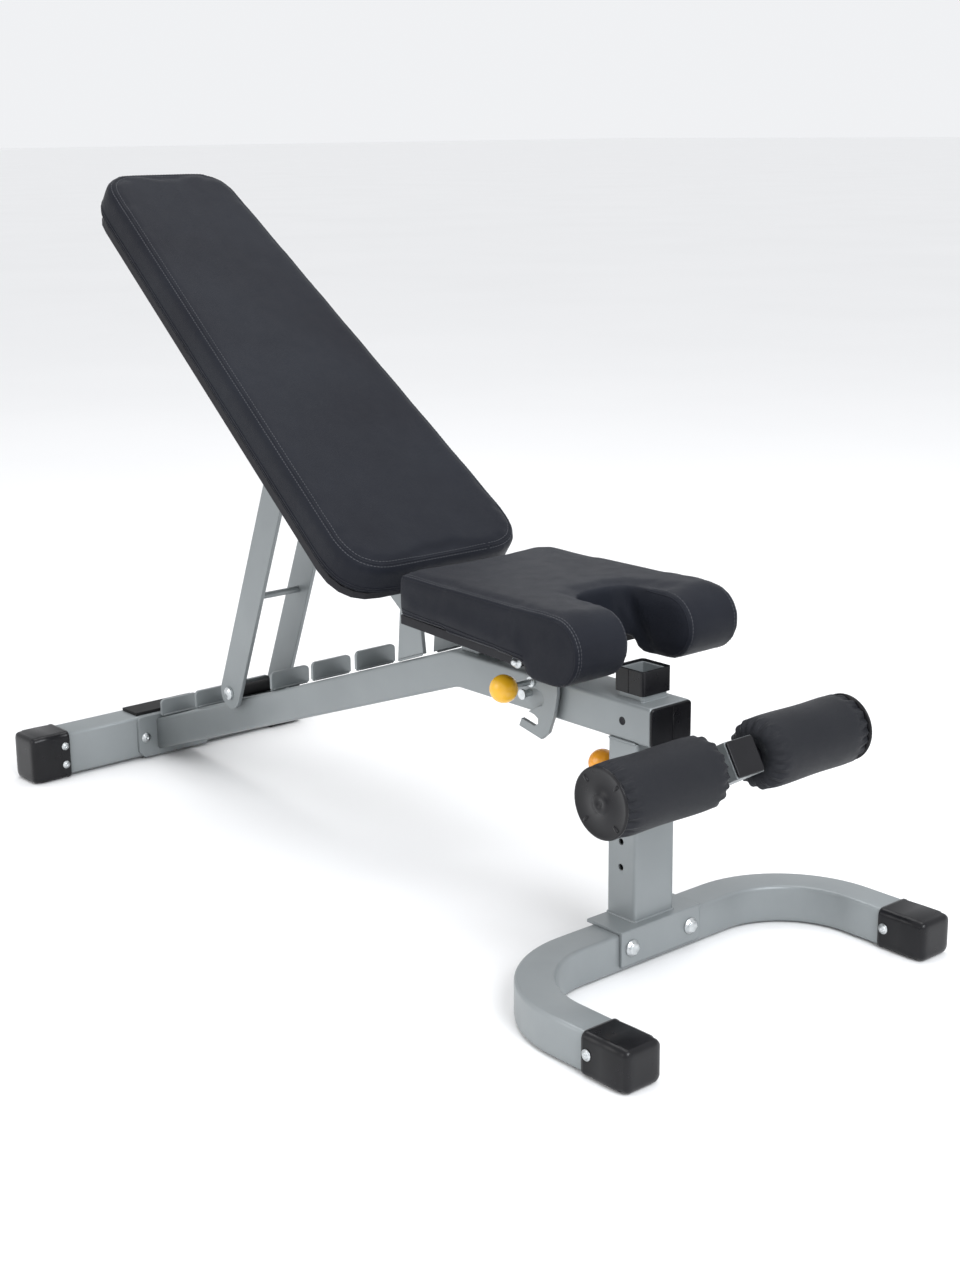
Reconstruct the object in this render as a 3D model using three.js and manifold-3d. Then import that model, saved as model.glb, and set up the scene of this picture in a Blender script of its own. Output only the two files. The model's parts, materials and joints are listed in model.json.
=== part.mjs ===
// Adjustable sit-up bench: welded frame, reclining back with a ladder strut, tilting seat, foam leg rollers.
// Millimetres, +Z up, +X towards the leg rollers, origin on the floor at the middle of the footprint.
import * as THREE from 'three';
import { mergeVertices } from 'three/addons/utils/BufferGeometryUtils.js';
import Module from 'manifold-3d';

const wasm = await Module();
wasm.setup();

// Driving dimensions. X is counted from the front post's axis; the whole bench is shifted by FRAME_SHIFT.
const FRAME_SHIFT = 451;
const GAP = 0.3;
const WALL = 3;

const TUBE_DEEP = 50;
const TUBE_WIDE = 70;
const TUBE_CORNER = 5;

const RAIL_TOP = 339;
const RAIL_FRONT = 46;
const RAIL_KNEE = -326;
const RAIL_SLOPE = THREE.MathUtils.degToRad(19.4);
const KNEE_RADIUS = 60;

const PLATE_FRONT = -1099;
const PLATE_THICK = 6;
const STABILIZER_DEEP = 58;
const STABILIZER_TALL = 70;
const STABILIZER_LIFT = 4;
const STABILIZER_HALF = 258;

const FOOT_TUBE = 50;
const FOOT_LIFT = 2;
const FOOT_BACK = 8.5;
const FOOT_HALF = 260;
const FOOT_BEND = 130;
const FOOT_FRONT = 260;
const BRACKET_THICK = 4;

const TOOTH_COUNT = 6;
const TOOTH_FIRST = -543;
const TOOTH_PITCH = 108.5;
const TOOTH_THICK = 5;
const TOOTH_TALL = 28;
const STRUT_TOOTH = 3;

const BACK_ANGLE = THREE.MathUtils.degToRad(36.3);
const BACK_FACE = { x: -371, z: 452 };
const BACK_LENGTH = 854;
const BACK_HALF_LOW = 158;
const BACK_HALF_TOP = 113;
const BACK_FOAM = 56;
const BOARD_THICK = 12;
const SPINE_DEEP = 45;
const SPINE_WIDE = 44;
const BACK_PIVOT = { x: -14, z: 91.6 };
const STRUT_PIVOT = { x: 325, z: 96 };

const BOLT = 6;
const BORE = 6.3;
const BOLT_HEAD = 10;

const STRUT_WIDE = 50;
const STRUT_THICK = 6;
const STRUT_INNER = 41;
const FOOT_SLEEVE = 9.5;

const SEAT_TOP = 460;
const SEAT_REAR = -325;
const SEAT_LOBE = 43.5;
const SEAT_LOBE_X = -12;
const SEAT_HALF_REAR = 132;
const SEAT_HALF_FRONT = 141;
const NOTCH_HALF = 49;
const NOTCH_BACK = -83;
const SEAT_HINGE = { x: -300, z: 362 };

const CATCH_PIVOT = { x: -118, z: 368 };
const CATCH_PEG = { x: -168, z: 314 };
const CATCH_SIDE = -41;

const CARRIAGE_BOTTOM = 186;
const CARRIAGE_TALL = 66;
const ARM_ANGLE = THREE.MathUtils.degToRad(30.7);
const ARM_SIZE = 46;
const AXLE = { x: 145.6, z: 288 };
const AXLE_RADIUS = 8;
const ROLLER_RADIUS = 45;
const ROLLER_INNER = 38;
const CAP_RADIUS = 42;
const ROLLER_OUTER = 209;
const PIN_HEIGHT = 235;
// The pin is drawn: its tip stands just behind the post's rear face.
const PIN_TIP = -25.4;
const HOLE_PITCH = 34;

const RAIL_BOTTOM = RAIL_TOP - TUBE_DEEP;
const PLATE_REAR = PLATE_FRONT - PLATE_THICK;
const STABILIZER_X = PLATE_REAR - STABILIZER_DEEP / 2;
const FOOT_TOP = FOOT_LIFT + FOOT_TUBE;
const POST_BOTTOM = FOOT_TOP + BRACKET_THICK + GAP;

function finish(color, roughness, metalness) {
  return new THREE.MeshStandardMaterial({ color, roughness, metalness });
}
const steelPaint = finish(0x8f979b, 0.45, 0.4);
const blackPlastic = finish(0x17181a, 0.4, 0);
const rubber = finish(0x1b1b1c, 0.8, 0);
const vinyl = finish(0x2a2c31, 0.6, 0);
const boardBlack = finish(0x141416, 0.7, 0);
const zinc = finish(0xc4c8ca, 0.3, 0.9);
const yellowKnob = finish(0xf2b51f, 0.3, 0);

const bench = new THREE.Group();
bench.position.x = FRAME_SHIFT;

// Adds one named sub-part to a group.
function place(parent, name, geometry, material) {
  const mesh = new THREE.Mesh(geometry, material);
  mesh.name = name;
  parent.add(mesh);
  return mesh;
}

function toSolid(geometry) {
  const bare = geometry.clone();
  bare.deleteAttribute('normal');
  bare.deleteAttribute('uv');
  const merged = mergeVertices(bare, 1e-4);
  return new wasm.Manifold(new wasm.Mesh({
    numProp: 3,
    vertProperties: new Float32Array(merged.attributes.position.array),
    triVerts: new Uint32Array(merged.index.array),
  }));
}

function toGeometry(solid) {
  const mesh = solid.getMesh();
  const geometry = new THREE.BufferGeometry();
  geometry.setAttribute('position', new THREE.BufferAttribute(mesh.vertProperties, 3));
  geometry.setIndex(new THREE.BufferAttribute(mesh.triVerts, 1));
  return geometry;
}

// Starts from one geometry, adds some and cuts others away.
function carve(base, added, removed) {
  let solid = toSolid(base);
  for (const piece of added) solid = solid.add(toSolid(piece));
  for (const piece of removed) solid = solid.subtract(toSolid(piece));
  return toGeometry(solid);
}

function block(x0, x1, y0, y1, z0, z1) {
  const geometry = new THREE.BoxGeometry(x1 - x0, y1 - y0, z1 - z0);
  return geometry.translate((x0 + x1) / 2, (y0 + y1) / 2, (z0 + z1) / 2);
}

function roundedShape(width, height, radius) {
  const w = width / 2;
  const h = height / 2;
  const shape = new THREE.Shape();
  shape.moveTo(w, -h + radius);
  shape.lineTo(w, h - radius);
  shape.absarc(w - radius, h - radius, radius, 0, Math.PI / 2);
  shape.lineTo(-w + radius, h);
  shape.absarc(-w + radius, h - radius, radius, Math.PI / 2, Math.PI);
  shape.lineTo(-w, -h + radius);
  shape.absarc(-w + radius, -h + radius, radius, Math.PI, 1.5 * Math.PI);
  shape.lineTo(w - radius, -h);
  shape.absarc(w - radius, -h + radius, radius, 1.5 * Math.PI, 2 * Math.PI);
  return shape;
}

function rectangularTube(width, height, wall, length, radius = TUBE_CORNER) {
  const shape = roundedShape(width, height, radius);
  shape.holes.push(roundedShape(width - 2 * wall, height - 2 * wall, Math.max(radius - wall, 1)));
  return new THREE.ExtrudeGeometry(shape, { depth: length, bevelEnabled: false, curveSegments: 3 });
}

// A flat outline in X and Z, extruded across the bench from y0 to y1.
function sidePlate(points, y0, y1, holes = []) {
  const shape = new THREE.Shape(points.map(([x, z]) => new THREE.Vector2(x, z)));
  for (const { x, z, radius } of holes) {
    shape.holes.push(new THREE.Path().absarc(x, z, radius, 0, 2 * Math.PI));
  }
  const settings = { depth: y1 - y0, bevelEnabled: false, curveSegments: 8 };
  const geometry = new THREE.ExtrudeGeometry(shape, settings);
  return geometry.rotateX(Math.PI / 2).translate(0, y1, 0);
}

function rodAlongY(radius, y0, y1, x, z, segments = 16) {
  const geometry = new THREE.CylinderGeometry(radius, radius, y1 - y0, segments);
  return geometry.translate(x, (y0 + y1) / 2, z);
}

function rodAlongX(radius, x0, x1, y, z, segments = 16) {
  const geometry = new THREE.CylinderGeometry(radius, radius, x1 - x0, segments);
  return geometry.rotateZ(Math.PI / 2).translate((x0 + x1) / 2, y, z);
}

// Turned piece about the Y axis through (x, z); the profile lists [radius, y].
function turned(profile, x, z, segments = 20) {
  const points = profile.map(([radius, y]) => new THREE.Vector2(radius, y));
  return new THREE.LatheGeometry(points, segments).translate(x, 0, z);
}

// Through bolt along Y with a head at each end, clamped over `half` on each side.
function throughBolt(half, x, z) {
  const y = half + GAP;
  return turned([
    [0, -y - 7], [BOLT_HEAD * 0.6, -y - 6.5], [BOLT_HEAD, -y - 4], [BOLT_HEAD, -y],
    [BOLT, -y], [BOLT, y], [BOLT_HEAD, y], [BOLT_HEAD, y + 4], [BOLT_HEAD * 0.6, y + 6.5], [0, y + 7],
  ], x, z, 14);
}

// Dome head with a washer; it stands on a face at the origin and points along +Y.
function domeScrew(radius, height) {
  return new THREE.LatheGeometry([
    new THREE.Vector2(0, 0),
    new THREE.Vector2(radius * 1.3, 0),
    new THREE.Vector2(radius * 1.3, 1.2),
    new THREE.Vector2(radius, 1.2),
    new THREE.Vector2(radius * 0.9, height * 0.6),
    new THREE.Vector2(radius * 0.55, height * 0.92),
    new THREE.Vector2(0, height),
  ], 14);
}

const slopeDrop = (x) => (x < RAIL_KNEE ? (RAIL_KNEE - x) * Math.tan(RAIL_SLOPE) : 0);
const railTopAt = (x) => RAIL_BOTTOM - slopeDrop(x)
  + (x < RAIL_KNEE ? TUBE_DEEP / Math.cos(RAIL_SLOPE) : TUBE_DEEP);

// Side outline of the bent rail, grown inwards by `inset`, running from `rear` to `front`.
function railOutline(inset, rear, front) {
  const low = RAIL_BOTTOM + inset;
  const high = RAIL_TOP - inset;
  const rise = Math.tan(RAIL_SLOPE);
  const shift = (RAIL_TOP - RAIL_BOTTOM) * Math.tan(RAIL_SLOPE / 2);
  const kneeLow = RAIL_KNEE + inset * Math.tan(RAIL_SLOPE / 2);
  const kneeHigh = RAIL_KNEE + shift - inset * Math.tan(RAIL_SLOPE / 2);
  const bend = (x, z) => [0, 0.25, 0.5, 0.75, 1].map((t) => {
    const reach = KNEE_RADIUS * Math.tan(RAIL_SLOPE / 2);
    const a = [x - reach, z - reach * rise];
    const b = [x + reach, z];
    const s = 1 - t;
    return [s * s * a[0] + 2 * s * t * x + t * t * b[0], s * s * a[1] + 2 * s * t * z + t * t * b[1]];
  });
  return [
    [rear, low - (kneeLow - rear) * rise],
    ...bend(kneeLow, low),
    [front, low],
    [front, high],
    ...bend(kneeHigh, high).reverse(),
    [rear, high - (kneeHigh - rear) * rise],
  ];
}

function mainRail() {
  const outer = sidePlate(railOutline(0, PLATE_FRONT, RAIL_FRONT), -TUBE_WIDE / 2, TUBE_WIDE / 2);
  const inner = sidePlate(
    railOutline(WALL, PLATE_FRONT - 20, RAIL_FRONT + 20), -TUBE_WIDE / 2 + WALL, TUBE_WIDE / 2 - WALL);
  const sideHole = rodAlongY(4.5, -TUBE_WIDE / 2 - 5, TUBE_WIDE / 2 + 5, 0, RAIL_BOTTOM + TUBE_DEEP / 2);
  return carve(outer, [], [inner, sideHole]);
}

function frontPost() {
  const height = RAIL_BOTTOM - GAP - POST_BOTTOM;
  const tube = rectangularTube(TUBE_DEEP, TUBE_WIDE, WALL, height).translate(0, 0, POST_BOTTOM);
  const holes = [];
  for (let i = 0; i < 4; i += 1) {
    holes.push(rodAlongX(5.2, -40, 0, 0, PIN_HEIGHT - i * HOLE_PITCH, 12));
    holes.push(rodAlongY(4.5, -60, 60, 0, 123 + i * HOLE_PITCH, 8));
  }
  return carve(tube, [], holes);
}

// The foot's centre line: across the back, round two bends and forward along both arms.
class FootCurve extends THREE.Curve {
  getPoint(t, target = new THREE.Vector3()) {
    const arm = FOOT_FRONT - FOOT_BACK - FOOT_BEND;
    const arc = FOOT_BEND * Math.PI / 2;
    const middle = 2 * (FOOT_HALF - FOOT_BEND);
    let s = t * (2 * arm + 2 * arc + middle);
    const z = FOOT_LIFT + FOOT_TUBE / 2;
    if (s <= arm) return target.set(FOOT_FRONT - s, -FOOT_HALF, z);
    s -= arm;
    if (s <= arc) {
      const a = s / FOOT_BEND;
      return target.set(
        FOOT_BACK + FOOT_BEND * (1 - Math.sin(a)), -FOOT_HALF + FOOT_BEND * (1 - Math.cos(a)), z);
    }
    s -= arc;
    if (s <= middle) return target.set(FOOT_BACK, -FOOT_HALF + FOOT_BEND + s, z);
    s -= middle;
    if (s <= arc) {
      const a = s / FOOT_BEND;
      return target.set(
        FOOT_BACK + FOOT_BEND * (1 - Math.cos(a)), FOOT_HALF - FOOT_BEND * (1 - Math.sin(a)), z);
    }
    return target.set(FOOT_BACK + FOOT_BEND + (s - arc), FOOT_HALF, z);
  }
}

function frontFoot() {
  const section = roundedShape(FOOT_TUBE, FOOT_TUBE, TUBE_CORNER);
  const half = FOOT_TUBE / 2 - WALL;
  const inside = [[half, half], [-half, half], [-half, -half], [half, -half]];
  section.holes.push(new THREE.Path(inside.map(([x, y]) => new THREE.Vector2(x, y))));
  return new THREE.ExtrudeGeometry(section, { extrudePath: new FootCurve(), steps: 30, curveSegments: 2 });
}

// Plastic end cap for a tube, mouth at z = 0 and closed end at z = length, with softened edges.
function endCap(width, height, length, tubeWidth, tubeHeight) {
  const edge = 5;
  const shape = roundedShape(width, height, 9);
  const body = new THREE.ExtrudeGeometry(shape, {
    depth: length - edge, bevelEnabled: true, bevelThickness: edge, bevelSize: edge, bevelOffset: -edge,
    bevelSegments: 2, curveSegments: 3,
  });
  const mouth = block(-width, width, -height, height, -20, 0);
  const pocket = new THREE.ExtrudeGeometry(
    roundedShape(tubeWidth + 2 * GAP, tubeHeight + 2 * GAP, TUBE_CORNER),
    { depth: length + 15, bevelEnabled: false, curveSegments: 3 }).translate(0, 0, -20);
  return carve(body, [], [mouth, pocket]);
}

function accessorySocket() {
  const size = 44;
  return rectangularTube(size, size, 3, 36, 4).translate(0, 0, RAIL_TOP + GAP);
}

function socketSleeve() {
  return rectangularTube(50, 50, 2.7, 31, 5).translate(0, 0, 347);
}

function railEndPlug() {
  const plate = new THREE.ExtrudeGeometry(roundedShape(TUBE_WIDE - 1, TUBE_DEEP - 1, 5), {
    depth: 2, bevelEnabled: true, bevelThickness: 1, bevelSize: 1, bevelOffset: -1, bevelSegments: 1,
    curveSegments: 3,
  });
  const turnedPlate = plate.rotateX(Math.PI / 2).rotateZ(Math.PI / 2);
  return turnedPlate.translate(RAIL_FRONT + 1 + GAP, 0, RAIL_BOTTOM + TUBE_DEEP / 2);
}

function footBracket() {
  const front = FOOT_BACK + FOOT_TUBE / 2 + GAP;
  const top = FOOT_TOP + GAP;
  return sidePlate([
    [-24, top], [front, top], [front, 10], [front + BRACKET_THICK, 10],
    [front + BRACKET_THICK, top + BRACKET_THICK - 1], [front + BRACKET_THICK - 1, top + BRACKET_THICK],
    [-24, top + BRACKET_THICK],
  ], -70, 70);
}

function mountPlate() {
  const shape = new THREE.Shape();
  const half = 70;
  shape.moveTo(-half + 10, 4);
  shape.lineTo(half - 10, 4);
  shape.lineTo(half, 14);
  shape.lineTo(half, 66);
  shape.absarc(half - 8, 66, 8, 0, Math.PI / 2);
  shape.lineTo(-half + 8, 74);
  shape.absarc(-half + 8, 66, 8, Math.PI / 2, Math.PI);
  shape.lineTo(-half, 14);
  const plate = new THREE.ExtrudeGeometry(shape, {
    depth: PLATE_THICK - 2 * GAP, bevelEnabled: false, curveSegments: 4,
  });
  return plate.rotateX(Math.PI / 2).rotateZ(Math.PI / 2).translate(PLATE_REAR + GAP, 0, 0);
}

function ladderPlate(index) {
  const half = TUBE_WIDE / 2;
  const x = TOOTH_FIRST - index * TOOTH_PITCH;
  const low = railTopAt(x + TOOTH_THICK) + GAP;
  const high = railTopAt(x) + TOOTH_TALL;
  const corner = 7;
  const shape = new THREE.Shape();
  shape.moveTo(-half, low);
  shape.lineTo(half, low);
  shape.lineTo(half, high - corner);
  shape.absarc(half - corner, high - corner, corner, 0, Math.PI / 2);
  shape.lineTo(-half + corner, high);
  shape.absarc(-half + corner, high - corner, corner, Math.PI / 2, Math.PI);
  const plate = new THREE.ExtrudeGeometry(shape, {
    depth: TOOTH_THICK, bevelEnabled: false, curveSegments: 4,
  });
  return plate.rotateX(Math.PI / 2).rotateZ(Math.PI / 2).translate(x, 0, 0);
}

// Where the backrest's own axes point: x up along the pad, z behind its face.
const backX = (x, z) => BACK_FACE.x - x * Math.cos(BACK_ANGLE) - z * Math.sin(BACK_ANGLE);
const backZ = (x, z) => BACK_FACE.z + x * Math.sin(BACK_ANGLE) - z * Math.cos(BACK_ANGLE);
const pivot = { x: backX(BACK_PIVOT.x, BACK_PIVOT.z), z: backZ(BACK_PIVOT.x, BACK_PIVOT.z) };
const strutTop = { x: backX(STRUT_PIVOT.x, STRUT_PIVOT.z), z: backZ(STRUT_PIVOT.x, STRUT_PIVOT.z) };
const footX = TOOTH_FIRST - STRUT_TOOTH * TOOTH_PITCH + TOOTH_THICK + FOOT_SLEEVE + GAP;
const strutFoot = { x: footX, z: railTopAt(footX) + (FOOT_SLEEVE + GAP) / Math.cos(RAIL_SLOPE) };

function uprightPlate(side) {
  const half = 28;
  const points = [
    [pivot.x - half, railTopAt(pivot.x - half) + GAP],
    [pivot.x + half, railTopAt(pivot.x + half) + GAP],
  ];
  const radius = 22;
  for (let i = 0; i <= 6; i += 1) {
    const a = (i / 6) * Math.PI;
    points.push([pivot.x + radius * Math.cos(a), pivot.z + radius * Math.sin(a)]);
  }
  const y = side > 0 ? [29, 35] : [-35, -29];
  return sidePlate(points, y[0], y[1], [{ x: pivot.x, z: pivot.z, radius: BORE }]);
}

function backOutline(inset) {
  const low = 75 - inset;
  const top = 60 - inset;
  const halfLow = BACK_HALF_LOW - inset;
  const halfTop = BACK_HALF_TOP - inset;
  const end = BACK_LENGTH - inset;
  const shape = new THREE.Shape();
  shape.moveTo(inset, -halfLow + low);
  shape.lineTo(inset, halfLow - low);
  shape.quadraticCurveTo(inset, halfLow, inset + low, halfLow - 2);
  shape.lineTo(end - top, halfTop + 2);
  shape.quadraticCurveTo(end, halfTop, end, halfTop - top);
  shape.lineTo(end, -halfTop + top);
  shape.quadraticCurveTo(end, -halfTop, end - top, -halfTop - 2);
  shape.lineTo(inset + low, -halfLow + 2);
  shape.quadraticCurveTo(inset, -halfLow, inset, -halfLow + low);
  return shape;
}

function backPad() {
  const edge = 9;
  return new THREE.ExtrudeGeometry(backOutline(0), {
    depth: BACK_FOAM - 2 * edge, bevelEnabled: true, bevelThickness: edge, bevelSize: edge,
    bevelOffset: -edge, bevelSegments: 2, curveSegments: 6,
  }).translate(0, 0, edge);
}

function backBoard() {
  return new THREE.ExtrudeGeometry(backOutline(9), {
    depth: BOARD_THICK, bevelEnabled: false, curveSegments: 5,
  }).translate(0, 0, BACK_FOAM + GAP);
}

// Box-section spine with a cross tube at each of its two pivots.
function backSpine() {
  const low = BACK_FOAM + BOARD_THICK + 2 * GAP;
  const half = SPINE_WIDE / 2;
  const box = block(-14, 560, -half, half, low, low + SPINE_DEEP);
  const hollow = block(-30, 580, -half + WALL, half - WALL, low + WALL, low + SPINE_DEEP - WALL);
  const lowTube = rodAlongY(16, -28.6, 28.6, BACK_PIVOT.x, BACK_PIVOT.z, 20);
  const topTube = rodAlongY(14, -STRUT_INNER + GAP, STRUT_INNER - GAP, STRUT_PIVOT.x, STRUT_PIVOT.z, 20);
  const lowBore = rodAlongY(BORE, -60, 60, BACK_PIVOT.x, BACK_PIVOT.z);
  const topBore = rodAlongY(BORE, -60, 60, STRUT_PIVOT.x, STRUT_PIVOT.z);
  const shell = toGeometry(toSolid(box).subtract(toSolid(hollow)));
  return carve(shell, [lowTube, topTube], [lowBore, topBore]);
}

function strutBar(side) {
  const dx = strutTop.x - strutFoot.x;
  const dz = strutTop.z - strutFoot.z;
  const lean = Math.atan2(dz, dx);
  const radius = STRUT_WIDE / 2;
  const points = [];
  for (let i = 0; i <= 10; i += 1) {
    const a = lean - Math.PI / 2 + (i / 10) * Math.PI;
    points.push([strutTop.x + radius * Math.cos(a), strutTop.z + radius * Math.sin(a)]);
  }
  for (let i = 0; i <= 10; i += 1) {
    const a = lean + Math.PI / 2 + (i / 10) * Math.PI;
    points.push([strutFoot.x + radius * Math.cos(a), strutFoot.z + radius * Math.sin(a)]);
  }
  const y = side > 0 ? [STRUT_INNER, STRUT_INNER + STRUT_THICK] : [-STRUT_INNER - STRUT_THICK, -STRUT_INNER];
  return sidePlate(points, y[0], y[1], [
    { x: strutTop.x, z: strutTop.z, radius: BORE },
    { x: strutFoot.x, z: strutFoot.z, radius: BORE },
  ]);
}

function seatPad() {
  const bottomRear = 405;
  const bottomFront = 392.5;
  const lobeZ = SEAT_TOP - SEAT_LOBE;
  const points = [
    [-66, bottomFront], [SEAT_REAR + 6, bottomRear], [SEAT_REAR, bottomRear + 8], [SEAT_REAR, SEAT_TOP - 11],
    [SEAT_REAR + 3, SEAT_TOP - 4], [SEAT_REAR + 10, SEAT_TOP],
  ];
  for (let i = 0; i <= 10; i += 1) {
    const a = Math.PI / 2 - (i / 10) * Math.PI;
    points.push([SEAT_LOBE_X + SEAT_LOBE * Math.cos(a), lobeZ + SEAT_LOBE * Math.sin(a)]);
  }
  points.push([-52, 375]);
  points.push([-64, 381]);
  const body = sidePlate(points.reverse(), -SEAT_HALF_FRONT, SEAT_HALF_FRONT);
  const plan = new THREE.Shape();
  plan.moveTo(SEAT_REAR - 1, -SEAT_HALF_REAR + 24);
  plan.quadraticCurveTo(SEAT_REAR - 1, -SEAT_HALF_REAR, SEAT_REAR + 24, -SEAT_HALF_REAR);
  plan.lineTo(-60, -SEAT_HALF_FRONT);
  plan.lineTo(60, -SEAT_HALF_FRONT);
  plan.lineTo(60, -NOTCH_HALF - 8);
  plan.lineTo(NOTCH_BACK + 36, -NOTCH_HALF);
  plan.quadraticCurveTo(NOTCH_BACK, -NOTCH_HALF, NOTCH_BACK, -NOTCH_HALF + 34);
  plan.lineTo(NOTCH_BACK, NOTCH_HALF - 34);
  plan.quadraticCurveTo(NOTCH_BACK, NOTCH_HALF, NOTCH_BACK + 36, NOTCH_HALF);
  plan.lineTo(60, NOTCH_HALF + 8);
  plan.lineTo(60, SEAT_HALF_FRONT);
  plan.lineTo(-60, SEAT_HALF_FRONT);
  plan.lineTo(SEAT_REAR + 24, SEAT_HALF_REAR);
  plan.quadraticCurveTo(SEAT_REAR - 1, SEAT_HALF_REAR, SEAT_REAR - 1, SEAT_HALF_REAR - 24);
  const cutter = new THREE.ExtrudeGeometry(plan, { depth: 200, bevelEnabled: false, curveSegments: 6 });
  const solid = toSolid(body).intersect(toSolid(cutter.translate(0, 0, 320)));
  return toGeometry(solid);
}

function seatBoard() {
  const board = sidePlate([
    [-320, 404.3 - BOARD_THICK], [-88, 393.1 - BOARD_THICK], [-88, 393.1], [-320, 404.3],
  ], -124, 124);
  return board;
}

// Two side cheeks and a web under the seat board; the cheeks reach down to the hinge bolt.
function seatFrame() {
  const web = sidePlate([[-314, 386.5], [-92, 375.6], [-92, 380.5], [-316, 391.5]], -29, 29);
  const ear = [
    [-316, 390], [-314, 360], [-308, 350], [-300, 347], [-292, 350], [-286, 358], [-280, 376],
    [-134, 369], [-128, 359], [-108, 358], [-94, 370], [-92, 380],
  ].reverse();
  const near = sidePlate(ear, -29, -24);
  const far = sidePlate(ear, 24, 29);
  const bore = rodAlongY(BORE, -60, 60, SEAT_HINGE.x, SEAT_HINGE.z);
  return carve(web, [near, far], [bore]);
}

function hingeLug() {
  const points = [[SEAT_HINGE.x - 18, RAIL_TOP + GAP], [SEAT_HINGE.x + 18, RAIL_TOP + GAP]];
  for (let i = 0; i <= 6; i += 1) {
    const a = (i / 6) * Math.PI;
    points.push([SEAT_HINGE.x + 13 * Math.cos(a), SEAT_HINGE.z + 11 * Math.sin(a)]);
  }
  return sidePlate(points, -23.6, 23.6, [{ x: SEAT_HINGE.x, z: SEAT_HINGE.z, radius: BORE }]);
}

function seatCatch() {
  const { x, z } = CATCH_PIVOT;
  const points = [
    [x - 12, z], [x - 8, z + 9], [x, z + 12], [x + 8, z + 9], [x + 12, z],
    [-105, 326], [-111, 297], [-121, 272], [-134, 261], [-177, 270], [-172, 281], [-148, 276], [-141, 280],
    [-141, 287], [-148, 291], [-159, 293], [-142, 303], [-133, 306], [-130, 314], [-133, 322], [-142, 326],
    [-160, 326], [-160, 342], [-150, 344], [-137, 348],
  ];
  return sidePlate(points.reverse(), CATCH_SIDE - 5, CATCH_SIDE, [{ x, z, radius: BORE }]);
}

function catchArm() {
  const { x, z } = CATCH_PIVOT;
  return turned([
    [0, CATCH_SIDE - 8], [9, CATCH_SIDE - 8], [9, CATCH_SIDE - 5 - GAP], [BOLT, CATCH_SIDE - 5 - GAP],
    [BOLT, CATCH_SIDE + GAP], [10, CATCH_SIDE + GAP], [10, -29 - GAP], [0, -29 - GAP],
  ], x, z);
}

function catchPeg() {
  return turned([
    [0, CATCH_SIDE - 9], [7, CATCH_SIDE - 9], [7, CATCH_SIDE - 5.6], [5, CATCH_SIDE - 5.6],
    [5, -TUBE_WIDE / 2 - GAP], [0, -TUBE_WIDE / 2 - GAP],
  ], CATCH_PEG.x, CATCH_PEG.z, 14);
}

function catchRod() {
  const y = CATCH_SIDE - 5 - GAP;
  return turned([[0, y - 28], [4, y - 28], [4, y - 3], [7, y - 3], [7, y], [0, y]], -152, 334, 12);
}

function ballKnob(radius) {
  const profile = [];
  const steps = 8;
  for (let i = 0; i <= steps; i += 1) {
    const a = -Math.PI / 2 + (i / steps) * 2.75;
    profile.push(new THREE.Vector2(Math.max(0, radius * Math.cos(a)), radius * Math.sin(a)));
  }
  profile.push(new THREE.Vector2(0, radius * 0.93));
  return new THREE.LatheGeometry(profile, 14);
}

function carriageSleeve() {
  const tube = rectangularTube(TUBE_DEEP + 8, TUBE_WIDE + 8, 3.6, CARRIAGE_TALL, 8);
  tube.translate(0, 0, CARRIAGE_BOTTOM);
  return carve(tube, [], [rodAlongX(5.2, -40, 0, 0, PIN_HEIGHT)]);
}

// Square tube rising forwards from the carriage; its rear end is cut upright against the sleeve.
function rollerArm() {
  const rise = Math.tan(ARM_ANGLE);
  const outline = (size, rear, reach) => {
    const up = size / 2 / Math.cos(ARM_ANGLE);
    const z = (x) => AXLE.z + (x - AXLE.x) * rise;
    const tipX = AXLE.x + reach * Math.cos(ARM_ANGLE);
    const tipZ = AXLE.z + reach * Math.sin(ARM_ANGLE);
    const dx = size / 2 * Math.sin(ARM_ANGLE);
    const dz = size / 2 * Math.cos(ARM_ANGLE);
    return [[rear, z(rear) - up], [tipX + dx, tipZ - dz], [tipX - dx, tipZ + dz], [rear, z(rear) + up]];
  };
  const half = ARM_SIZE / 2;
  const rear = TUBE_DEEP / 2 + 4 + GAP;
  const outer = sidePlate(outline(ARM_SIZE, rear, 25), -half, half);
  const inner = sidePlate(outline(ARM_SIZE - 6, rear - 10, 40), -half + 3, half - 3);
  return carve(outer, [], [inner, rodAlongY(AXLE_RADIUS + 0.3, -60, 60, AXLE.x, AXLE.z)]);
}

function armPlug() {
  const plate = new THREE.ExtrudeGeometry(roundedShape(ARM_SIZE - 1, ARM_SIZE - 1, 4), {
    depth: 1.5, bevelEnabled: true, bevelThickness: 1, bevelSize: 1, bevelOffset: -1, bevelSegments: 1,
    curveSegments: 3,
  });
  const along = plate.rotateX(Math.PI / 2).rotateZ(Math.PI / 2).rotateY(-ARM_ANGLE);
  const reach = 25 + 1 + GAP;
  return along.translate(AXLE.x + reach * Math.cos(ARM_ANGLE), 0, AXLE.z + reach * Math.sin(ARM_ANGLE));
}

// Tube about the axle between two distances from the middle, on one side.
function axleRing(side, inner, outer, y0, y1, segments) {
  const profile = [[inner, y0], [outer, y0], [outer, y1], [inner, y1], [inner, y0]];
  const ordered = side > 0 ? profile : profile.map(([radius, y]) => [radius, -y]).reverse();
  return turned(ordered, AXLE.x, AXLE.z, segments);
}

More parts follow.
